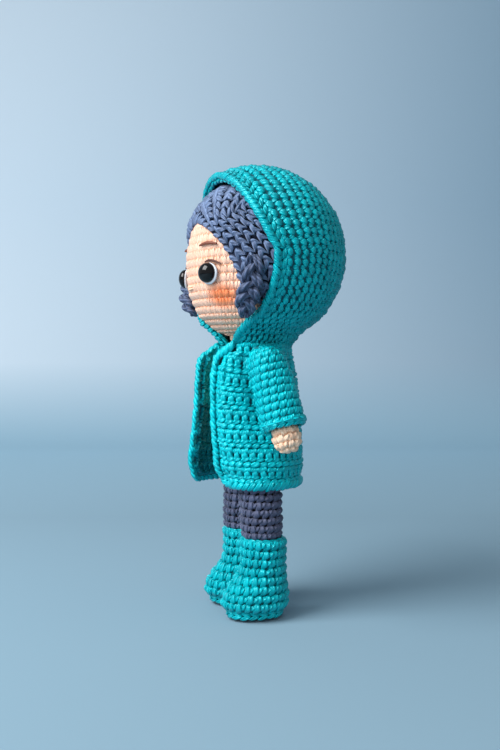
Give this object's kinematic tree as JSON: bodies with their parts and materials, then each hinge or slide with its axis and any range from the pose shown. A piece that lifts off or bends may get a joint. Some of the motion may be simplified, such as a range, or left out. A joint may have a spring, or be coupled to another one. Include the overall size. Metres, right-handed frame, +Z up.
{
  "type": "crocheted doll",
  "caption": "Crocheted doll with a round head, safety eyes, plaits, open hooded coat and pull-off boots, standing on flat soles.",
  "frame": {"origin": "on the floor under the middle of the doll's box", "axes": "+Z up from the soles to the hood; the doll faces -Y and its own left side is +X"},
  "size_m": [0.092, 0.0826, 0.222],
  "materials": {
    "yarn_peach": "crocheted cotton",
    "yarn_teal": "crocheted mercerised cotton",
    "yarn_slate_blue": "crocheted cotton",
    "yarn_slate": "crocheted cotton",
    "thread_brown": "embroidery thread",
    "thread_red_brown": "embroidery thread",
    "felt_white": "felt",
    "eye_black": "polished",
    "washer_white": "moulded",
    "fibre_fill": "loose polyester fibre",
    "rod_wood": "plain",
    "insole_board": "stiff plastic canvas",
    "joint_thread": "waxed thread"
  },
  "bodies": {
    "doll": {"head": "yarn_peach", "head_stuffing": "fibre_fill", "hair_cap": "yarn_slate_blue", "nose_stitch": "yarn_peach", "eye_left": "eye_black", "eye_white_left": "felt_white", "eye_washer_left": "washer_white", "lash_left": "thread_brown", "brow_left": "thread_red_brown", "eye_right": "eye_black", "eye_white_right": "felt_white", "eye_washer_right": "washer_white", "lash_right": "thread_brown", "brow_right": "thread_red_brown", "body": "yarn_peach", "body_stuffing": "fibre_fill", "neck_rod": "rod_wood", "shoulder_cord": "joint_thread", "coat_back": "yarn_teal", "hood_lower": "yarn_teal", "leg_left": "yarn_slate", "leg_stuffing_left": "fibre_fill", "leg_right": "yarn_slate", "leg_stuffing_right": "fibre_fill"},
    "arm_left": {"arm_left": "yarn_peach", "arm_stuffing_left": "fibre_fill", "sleeve_left": "yarn_teal"},
    "arm_right": {"arm_right": "yarn_peach", "arm_stuffing_right": "fibre_fill", "sleeve_right": "yarn_teal"},
    "boot_left": {"boot_left": "yarn_teal", "insole_left": "insole_board", "toe_stuffing_left": "fibre_fill"},
    "boot_right": {"boot_right": "yarn_teal", "insole_right": "insole_board", "toe_stuffing_right": "fibre_fill"},
    "coat_front_left": {"coat_front_left": "yarn_teal"},
    "coat_front_right": {"coat_front_right": "yarn_teal"},
    "hood": {"hood": "yarn_teal"},
    "braid_left": {"braid_left": "yarn_slate_blue"},
    "braid_right": {"braid_right": "yarn_slate_blue"}
  },
  "joints": [
    {"name": "arm_swing_left", "type": "hinge", "parent": "doll", "child": "arm_left", "pos_m": [0.0252, -0.00819, 0.123], "axis": [-1, 0, 0], "range_deg": [-20, 75]},
    {"name": "arm_swing_right", "type": "hinge", "parent": "doll", "child": "arm_right", "pos_m": [-0.0252, -0.00819, 0.123], "axis": [-1, 0, 0], "range_deg": [-20, 75]},
    {"name": "coat_front_swing_left", "type": "hinge", "parent": "doll", "child": "coat_front_left", "pos_m": [0.02331, -0.00965, 0.065], "axis": [-0.1736, -0.1229, 0.9771], "range_deg": [-5, 28]},
    {"name": "coat_front_swing_right", "type": "hinge", "parent": "doll", "child": "coat_front_right", "pos_m": [-0.02331, -0.00965, 0.065], "axis": [-0.1736, 0.1229, -0.9771], "range_deg": [-32, 13]},
    {"name": "boot_pull_left", "type": "slide", "parent": "doll", "child": "boot_left", "axis": [0, 0, -1], "range_m": [0, 0.042]},
    {"name": "boot_pull_right", "type": "slide", "parent": "doll", "child": "boot_right", "axis": [0, 0, -1], "range_m": [0, 0.042]},
    {"name": "hood_ease", "type": "hinge", "parent": "doll", "child": "hood", "pos_m": [0, -0.00469, 0.176], "axis": [-1, 0, 0], "range_deg": [0, 20]},
    {"name": "braid_swing_left", "type": "hinge", "parent": "doll", "child": "braid_left", "pos_m": [0.03678, -0.01931, 0.1749], "axis": [-0.3584, -0.9336, 0], "range_deg": [0, 25]},
    {"name": "braid_swing_right", "type": "hinge", "parent": "doll", "child": "braid_right", "pos_m": [-0.03341, -0.02607, 0.1763], "axis": [-0.5299, 0.848, 0], "range_deg": [0, 25]}
  ]
}
